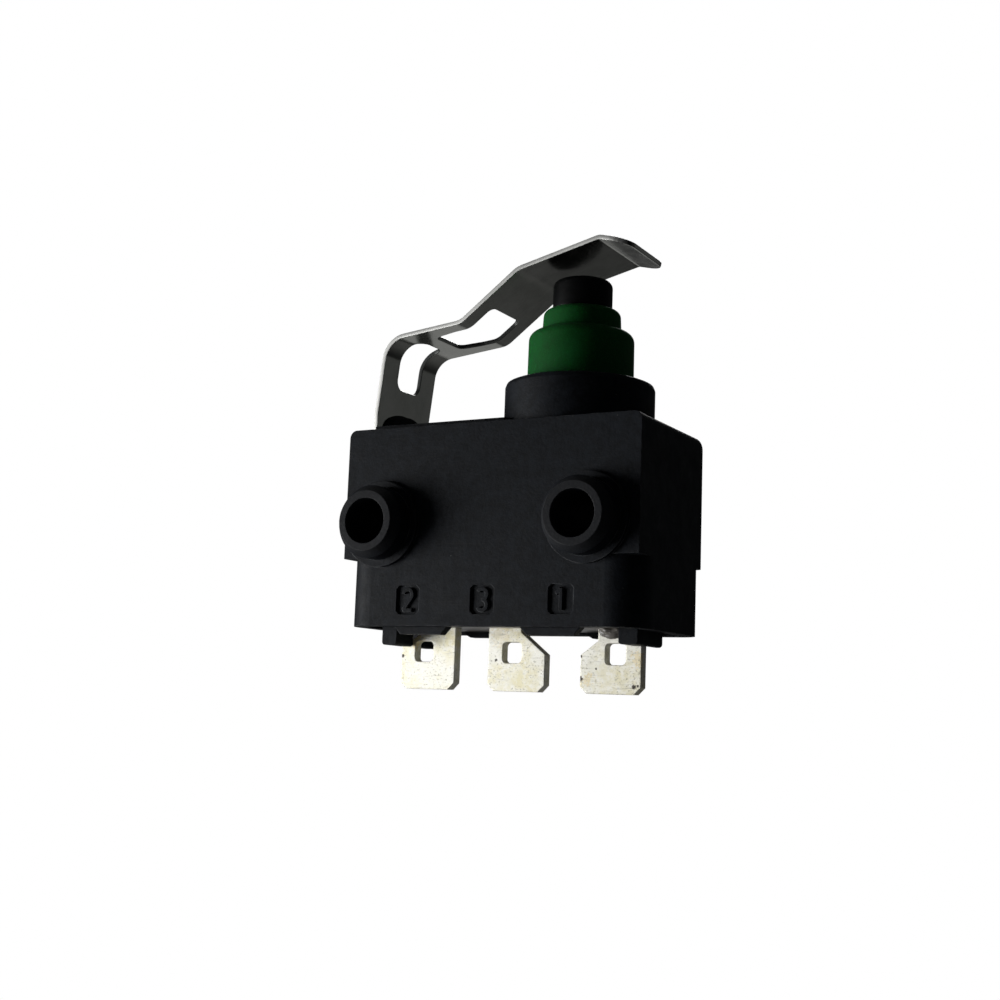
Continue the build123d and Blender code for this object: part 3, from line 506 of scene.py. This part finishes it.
class Look:
    """A material, with short ways to add nodes to it. Its coordinates are in millimetres."""

    def __init__(self, name):
        self.material = bpy.data.materials.new(name)
        self.material.use_nodes = True
        self.tree = self.material.node_tree
        self.shader = self.tree.nodes["Principled BSDF"]
        place = self.tree.nodes.new("ShaderNodeTexCoord")
        self.place = self.vector_math("SCALE", place.outputs["Object"], scale=1 / MM)

    def add(self, kind, settings=None, **inputs):
        """A node with its settings, and its inputs given as values or as other nodes' outputs."""
        made = self.tree.nodes.new(kind)
        for key, value in (settings or {}).items():
            setattr(made, key, value)
        for key, value in inputs.items():
            self.feed(made.inputs[key.replace("_", " ")], value)
        return made

    def feed(self, socket, value):
        """Links another node's output to an input, or sets the input's own value."""
        if isinstance(value, bpy.types.NodeSocket):
            self.tree.links.new(value, socket)
        else:
            socket.default_value = value

    def set(self, **inputs):
        """Inputs of the shader itself."""
        for key, value in inputs.items():
            self.feed(self.shader.inputs[key.replace("_", " ")], value)
        return self

    def vector_math(self, operation, vector, other=None, scale=None):
        made = self.add("ShaderNodeVectorMath", {"operation": operation}, Vector=vector)
        if other is not None:
            self.feed(made.inputs[1], other)
        if scale is not None:
            made.inputs["Scale"].default_value = scale
        return made.outputs[0]

    def math(self, operation, first, second=0.0, clamp=False):
        made = self.add("ShaderNodeMath", {"operation": operation, "use_clamp": clamp})
        self.feed(made.inputs[0], first)
        self.feed(made.inputs[1], second)
        return made.outputs[0]

    def noise(self, scale, detail=3.0, rough=0.55, stretch=(1, 1, 1)):
        """Noise of a few features per millimetre, drawn out along an axis where stretch is under 1."""
        place = self.vector_math("MULTIPLY", self.place, stretch)
        made = self.add("ShaderNodeTexNoise", Vector=place, Scale=scale, Detail=detail, Roughness=rough)
        return made.outputs["Fac"]

    def cells(self, scale):
        """The distance to the nearest of a few scattered points per millimetre."""
        return self.add("ShaderNodeTexVoronoi", Vector=self.place, Scale=scale).outputs["Distance"]

    def span(self, value, low, high, to_low=0.0, to_high=1.0):
        """The value moved from one span to another, and held at the ends."""
        ends = {"From_Min": low, "From_Max": high, "To_Min": to_low, "To_Max": to_high}
        return self.add("ShaderNodeMapRange", Value=value, **ends).outputs["Result"]

    def mix(self, share, first, second):
        """A colour between two, by a share from 0 to 1."""
        made = self.add("ShaderNodeMix", {"data_type": "RGBA"})
        self.feed(made.inputs["Factor"], share)
        self.feed(made.inputs[6], first)
        self.feed(made.inputs[7], second)
        return made.outputs[2]

    def depth(self):
        """The place along Y in millimetres."""
        return self.add("ShaderNodeSeparateXYZ", Vector=self.place).outputs["Y"]

    def rounding(self, radius):
        """Normals that round every sharp edge by a small radius, in millimetres."""
        return self.add("ShaderNodeBevel", {"samples": 6}, Radius=radius * MM).outputs["Normal"]

    def spot(self, centre, reach, ragged=0.35):
        """A mask that is 1 inside a ragged round patch about a place, given in millimetres."""
        away = self.vector_math("SUBTRACT", self.place, centre)
        away = self.add("ShaderNodeVectorMath", {"operation": "LENGTH"}, Vector=away).outputs["Value"]
        uneven = self.noise(2.5 / reach, detail=3)
        edge = self.span(uneven, 0.3, 0.7, reach * (1 - ragged), reach * (1 + ragged))
        return self.math("MULTIPLY", self.math("SUBTRACT", edge, away), 4 / reach, clamp=True)

    def edges(self, radius):
        """A mask that is 1 on sharp edges and 0 away from them."""
        rounded = self.rounding(radius)
        plain = self.add("ShaderNodeNewGeometry").outputs["Normal"]
        made = self.add("ShaderNodeVectorMath", {"operation": "DOT_PRODUCT"})
        self.feed(made.inputs[0], rounded)
        self.feed(made.inputs[1], plain)
        return self.span(made.outputs["Value"], 0.985, 0.8)

    def relief(self, *layers, rounding=None):
        """Bump layers as (height, strength, depth in millimetres), laid over rounded edges."""
        normal = self.rounding(rounding) if rounding else None
        for height, strength, depth in layers:
            bump = self.add("ShaderNodeBump", Height=height, Strength=strength, Distance=depth * MM)
            if normal is not None:
                self.feed(bump.inputs["Normal"], normal)
            normal = bump.outputs["Normal"]
        return self.set(Normal=normal)


def moulded_plastic():
    """Black moulding: flow shading, eroded grain, blotches, scuffs, dust specks, pale edges from wear and a
    painted highlight, and post tips with a painted highlight.
    """
    look = Look("black_moulded_case")
    dark, light = BLACK_MOULDING
    flow = look.noise(0.35, detail=3, rough=0.6, stretch=(1, 1, 0.5))
    grain = look.noise(7.0, detail=4, rough=0.7)
    fine = look.noise(22.0, detail=2)
    shade = look.mix(look.span(flow, 0.3, 0.7), dark, light)
    shade = look.mix(look.span(grain, 0.38, 0.66, 0.0, 0.8), shade, [c * 1.9 for c in light[:3]] + [1])
    blotches = look.span(look.noise(2.3, detail=4, rough=0.6), 0.42, 0.64, 0.0, 0.75)
    shade = look.mix(blotches, shade, [c * 2.4 for c in light[:3]] + [1])
    scuffs = look.span(look.noise(3.4, detail=3, rough=0.6, stretch=(0.12, 1, 2.6)), 0.57, 0.72)
    scuffs = look.math("MULTIPLY", scuffs, look.span(look.noise(0.4, detail=2), 0.46, 0.6))
    shade = look.mix(look.math("MULTIPLY", scuffs, 0.5), shade, BLACK_SCUFF)
    specks = look.math("LESS_THAN", look.cells(1.1), 0.032)
    specks = look.math("MULTIPLY", specks, look.span(look.noise(0.6), 0.52, 0.6))
    shade = look.mix(look.math("MULTIPLY", specks, 0.35), shade, BLACK_DUST)
    # Paler edges: wear, together with a painted highlight where light catches the edges
    edge_patches = look.math("MULTIPLY", look.edges(0.06), look.span(look.noise(1.4), 0.48, 0.62, 0.15, 1.0))
    shade = look.mix(edge_patches, shade, BLACK_EDGE_WEAR_AND_HIGHLIGHT)
    # The post tips painted paler: a painted highlight for the light on their tapered rims
    tips = look.span(look.depth(), *POST_TIP_HIGHLIGHT_FADE)
    tips = look.math("MULTIPLY", tips, look.span(grain, 0.3, 0.7, 0.35, 0.8))
    shade = look.mix(tips, shade, BLACK_POST_TIP_HIGHLIGHT)
    gloss = look.span(look.noise(1.3, detail=5, rough=0.65), 0.3, 0.7, 0.49, 0.65)
    look.set(Base_Color=shade, Roughness=gloss, Specular_IOR_Level=0.1)
    look.relief((grain, 0.6, 0.024), (fine, 0.45, 0.008), rounding=0.05)
    return look.material


def rubber_boot():
    """Dark green silicone with a dull bloom, fine grain and specks of dust."""
    look = Look("green_silicone_rubber")
    cloud = look.noise(0.9, detail=4, rough=0.6)
    grain = look.noise(16.0, detail=3)
    shade = look.mix(look.span(cloud, 0.3, 0.7), *BOOT_GREEN)
    shade = look.mix(look.span(grain, 0.42, 0.7, 0.0, 0.4), shade, BOOT_GRAIN)
    dust = look.math("LESS_THAN", look.cells(2.3), 0.06)
    shade = look.mix(look.math("MULTIPLY", dust, 0.2), shade, BOOT_DUST)
    look.set(Base_Color=shade, Roughness=look.span(cloud, 0.3, 0.7, 0.6, 0.75), Specular_IOR_Level=0.1)
    look.set(Subsurface_Weight=0.3, Subsurface_Radius=(0.1, 1.0, 0.2), Subsurface_Scale=0.0007)
    look.set(Sheen_Weight=0.03, Sheen_Roughness=0.5, Sheen_Tint=BOOT_SHEEN)
    look.relief((grain, 0.45, 0.018))
    return look.material


def plunger_plastic():
    """Smoother black moulding of the plunger and the pusher, with faint rings from the mould."""
    look = Look("plunger_black_plastic")
    cloud = look.noise(1.6, detail=4)
    rings = look.noise(9.0, detail=2, stretch=(0.15, 0.15, 1.4))
    shade = look.mix(look.span(cloud, 0.3, 0.7), *CAP_BLACK)
    look.set(Base_Color=shade, Roughness=look.span(rings, 0.3, 0.7, 0.38, 0.52), Specular_IOR_Level=0.07)
    look.relief((rings, 0.25, 0.006), (look.noise(24.0), 0.2, 0.003), rounding=0.03)
    return look.material


def spring_steel():
    """Rolled strip: fine lines along it, smudges, and cut faces with a painted highlight in front and painted
    shade inside.
    """
    look = Look("rolled_spring_steel")
    lines = look.noise(26.0, detail=3, rough=0.6, stretch=(0.05, 1, 0.05))
    smudge = look.noise(0.7, detail=5, rough=0.65)
    shade = look.mix(look.span(smudge, 0.3, 0.72), *STEEL)
    shade = look.mix(look.span(lines, 0.4, 0.75, 0.0, 0.3), shade, STEEL_LINE)
    gloss = look.span(smudge, 0.3, 0.7, 0.12, 0.22)
    gloss = look.math("ADD", gloss, look.span(lines, 0.3, 0.7, -0.02, 0.04))
    normal = look.add("ShaderNodeNewGeometry").outputs["Normal"]
    across = look.math("ABSOLUTE", look.add("ShaderNodeSeparateXYZ", Vector=normal).outputs["Y"])
    cut = look.span(across, 0.3, 0.8)
    inner = look.math("MULTIPLY", look.span(across, 0.12, 0.4), look.span(look.depth(), *INNER_CUT_SHADE_FROM))
    # Cut faces painted bright as a painted highlight, and the inner ones further back painted dark as painted
    # shade
    shade = look.mix(look.math("MULTIPLY", cut, 0.8), shade, STEEL_CUT_HIGHLIGHT)
    shade = look.mix(inner, shade, STEEL_INNER_CUT_SHADE)
    gloss = look.math("ADD", gloss, look.math("MULTIPLY", look.math("MAXIMUM", cut, inner), 0.34))
    look.set(Base_Color=shade, Metallic=1.0, Roughness=gloss)
    look.relief((lines, 0.12, 0.003), (look.noise(1.1, detail=2), 0.1, 0.02))
    return look.material


def tinned_tabs():
    """Tin over brass: yellow stains, scuffs and pits, dull cut edges, and a few nicks and dark corners."""
    look = Look("tinned_brass_tabs")
    cloud = look.noise(0.55, detail=4, rough=0.6)
    mottle = look.noise(3.2, detail=5, rough=0.7)
    pits = look.noise(9.0, detail=5, rough=0.7, stretch=(1, 1, 1.3))
    scratch = look.noise(7.0, detail=2, stretch=(0.16, 1, 2.4))
    shade = look.mix(look.span(cloud, 0.38, 0.62), *TIN)
    shade = look.mix(look.span(mottle, 0.44, 0.6, 0.0, 0.75), shade, TIN_BRIGHT)
    for centre, reach, share in TAB_STAINS:
        shade = look.mix(look.math("MULTIPLY", look.spot(centre, reach, 0.7), share), shade, TIN_STAIN)
    where = look.span(look.noise(0.8, detail=2), 0.4, 0.6, 0.25, 0.9)
    where = look.math("MAXIMUM", where, look.spot(TAB_PITTED[0], TAB_PITTED[1], 0.6))
    marks = look.math("MULTIPLY", look.span(pits, 0.545, 0.68), where)
    shade = look.mix(marks, shade, TIN_PIT)
    lines = look.math("MULTIPLY", look.span(scratch, 0.6, 0.7), look.math("MULTIPLY", where, 0.5))
    shade = look.mix(lines, shade, TIN_SCRATCH)
    for centre, reach in TAB_NICKS:
        shade = look.mix(look.spot(centre, reach), shade, TIN_NICK)
    edge_patches = look.math("MULTIPLY", look.edges(0.06), look.span(look.noise(2.8), 0.35, 0.65, 0.25, 0.85))
    shade = look.mix(edge_patches, shade, TIN_WORN_EDGE)
    look.set(Base_Color=shade, Metallic=0.35, Specular_IOR_Level=0.5)
    look.set(Roughness=look.span(mottle, 0.3, 0.7, 0.4, 0.62))
    look.relief((mottle, 0.3, 0.02), (pits, 0.3, 0.01), rounding=0.06)
    return look.material


def cast_resin():
    """Grey-brown casting resin, half glossy, with a few bubbles."""
    look = Look("cast_sealing_resin")
    cloud = look.noise(1.1, detail=4)
    shade = look.mix(look.span(cloud, 0.3, 0.7), *RESIN)
    bubbles = look.span(look.cells(3.0), 0.12, 0.2)
    look.set(Base_Color=shade, Roughness=look.span(cloud, 0.3, 0.7, 0.25, 0.5), Specular_IOR_Level=0.4)
    look.set(Coat_Weight=0.2, Coat_Roughness=0.3)
    look.relief((cloud, 0.5, 0.05), (bubbles, 0.3, 0.02))
    return look.material


def inner_metal(name, colours, rough):
    """Plain stamped or drawn metal of the inner pieces, with fine lines and slight tarnish."""
    look = Look(name)
    cloud = look.noise(1.8, detail=4)
    lines = look.noise(20.0, detail=2, stretch=(0.1, 1, 1))
    shade = look.mix(look.span(cloud, 0.3, 0.7), *colours)
    look.set(Base_Color=shade, Metallic=1.0)
    look.set(Roughness=look.span(lines, 0.3, 0.7, rough - 0.06, rough + 0.08))
    look.relief((lines, 0.2, 0.004), rounding=0.02)
    return look.material


# Studio


def make_world():
    """White where the camera looks past the switch, and a dim even surround for everything else."""
    world = bpy.data.worlds.new("studio")
    world.use_nodes = True
    bpy.context.scene.world = world
    tree = world.node_tree
    surround = tree.nodes["Background"]
    surround.inputs["Color"].default_value = SURROUND
    surround.inputs["Strength"].default_value = AMBIENT
    path = tree.nodes.new("ShaderNodeLightPath")
    white = tree.nodes.new("ShaderNodeBackground")
    white.inputs["Color"].default_value = WHITE
    mix = tree.nodes.new("ShaderNodeMixShader")
    tree.links.new(path.outputs["Is Camera Ray"], mix.inputs["Fac"])
    tree.links.new(surround.outputs["Background"], mix.inputs[1])
    tree.links.new(white.outputs["Background"], mix.inputs[2])
    tree.links.new(mix.outputs["Shader"], tree.nodes["World Output"].inputs["Surface"])


def make_floor():
    """A pale floor that takes the soft shadow under the switch and turns plain white further out."""
    half = FLOOR_SIZE / 2
    z = cad_low.z / MM - FLOOR_DROP
    mesh = bpy.data.meshes.new("floor")
    corners = [(-half, -half, z), (half, -half, z), (half, half, z), (-half, half, z)]
    mesh.from_pydata(corners, [], [(0, 1, 2, 3)])
    floor = mesh_object("floor", mesh)
    look = Look("pale_floor")
    flat = look.vector_math("MULTIPLY", look.place, (1, 1, 0))
    away = look.add("ShaderNodeVectorMath", {"operation": "LENGTH"}, Vector=flat).outputs["Value"]
    path = look.add("ShaderNodeLightPath").outputs["Is Camera Ray"]
    grey = look.mix(path, (FLOOR_BOUNCE,) * 3 + (1,), (FLOOR_SEEN,) * 3 + (1,))
    look.set(Base_Color=grey, Roughness=0.8)
    share = look.math("MULTIPLY", look.span(away, FLOOR_NEAR, FLOOR_FAR), path)
    white = look.add("ShaderNodeEmission", Strength=1.0)
    mix = look.add("ShaderNodeMixShader", Fac=share)
    look.tree.links.new(look.shader.outputs["BSDF"], mix.inputs[1])
    look.tree.links.new(white.outputs["Emission"], mix.inputs[2])
    look.tree.links.new(mix.outputs["Shader"], look.tree.nodes["Material Output"].inputs["Surface"])
    mesh.materials.append(look.material)


def make_lamp(name, place, size, power):
    """A square soft lamp that faces the switch and isn't seen by the camera."""
    light = bpy.data.lights.new(name, "AREA")
    light.shape = "SQUARE"
    light.size = size * MM
    light.energy = power
    lamp = bpy.data.objects.new(name, light)
    lamp.location = Vector(place) * MM
    lamp.rotation_mode = "QUATERNION"
    centre = (cad_low + cad_high) / 2
    lamp.rotation_quaternion = (centre - lamp.location).to_track_quat("-Z", "Y")
    lamp.visible_camera = False
    bpy.context.scene.collection.objects.link(lamp)


def make_camera():
    """The photograph's camera, from its place, its three turns and its lens."""
    turn = Matrix.Rotation(math.radians(CAMERA_TURN), 3, "Z")
    rise = Matrix.Rotation(math.radians(CAMERA_RISE), 3, "X")
    roll = Matrix.Rotation(math.radians(-CAMERA_ROLL), 3, "Y")
    axes = turn @ rise @ roll
    stand = Matrix.Rotation(math.radians(90), 3, "X")
    camera = bpy.data.objects.new("camera", bpy.data.cameras.new("camera"))
    camera.data.sensor_width = SENSOR_WIDTH
    camera.data.lens = CAMERA_LENS
    camera.data.clip_start = 1 * MM
    camera.data.clip_end = FLOOR_SIZE * MM
    camera.matrix_world = Matrix.Translation(Vector(CAMERA_PLACE) * MM) @ (axes @ stand).to_4x4()
    bpy.context.scene.collection.objects.link(camera)
    bpy.context.scene.camera = camera


def dress(node, material):
    """Gives a CAD node its finish in place of the plain one."""
    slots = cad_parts[node].data.materials
    slots.clear()
    slots.append(material)


def finish_piece(piece, material, node=None):
    """The finish of a piece, and the CAD node that it stands for, which is hidden."""
    piece.data.materials.clear()
    piece.data.materials.append(material)
    if node:
        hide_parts(node)


def main():
    scene = bpy.context.scene
    scene.view_settings.view_transform = "Standard"
    make_camera()
    make_world()
    make_floor()
    for name, (place, size, power) in LAMPS.items():
        make_lamp(name, place, size, power)

    black = moulded_plastic()
    cap_black = plunger_plastic()
    green = rubber_boot()
    steel = spring_steel()
    tin = tinned_tabs()
    resin = cast_resin()
    silver = inner_metal("contact_silver_alloy", SILVER, 0.25)
    copper = inner_metal("copper_spring_alloy", COPPER, 0.32)
    finishes = (
        (black, ("housing", "base", "plunger_guide")),
        (tin, ("terminal_1", "terminal_2", "terminal_3", "anchor_rivet")),
        (silver, ("upper_contact", "lower_contact", "moving_contact")),
        (copper, ("snap_blade", "bow_spring")),
        (resin, ("sealing_resin",)),
        (steel, ("boot_clamp_ring", "lever", "overtravel_spring")),
        (cap_black, ("pusher", "plunger")),
        (green, ("boot",)),
    )
    for material, nodes in finishes:
        for node in nodes:
            dress(node, material)

    lever = bent_lever("lever_leaf")
    finish_piece(lever, steel, "lever")
    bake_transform(lever)

    boot = turned_mesh("boot_skin", boot_outline(), STACK_X, MID_Y)
    finish_piece(boot, green, "boot")
    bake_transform(boot)

    plunger = turned_mesh("plunger_cap_and_stem", plunger_outline(), STACK_X, MID_Y)
    finish_piece(plunger, cap_black, "plunger")
    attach(plunger, "plunger_body")

    bead = lump_mesh("lump_mesh", BEAD_CENTRE, BEAD_REACH)
    finish_piece(bead, resin)
    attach(bead, "case")
    # A black lump at the lever's foot, a painted reflection: it stands in for the dark reflection of the deck
    # in the leaf
    reflection_lump = lump_mesh("lever_foot_painted_reflection", FOOT_REFLECTION_LUMP_CENTRE, FOOT_REFLECTION_LUMP_REACH)
    finish_piece(reflection_lump, black)
    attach(reflection_lump, "case")

    coil = tube_mesh("overtravel_coil", coil_points(), COIL_WIRE_RADIUS)
    finish_piece(coil, steel, "overtravel_spring")
    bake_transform(coil)


main()
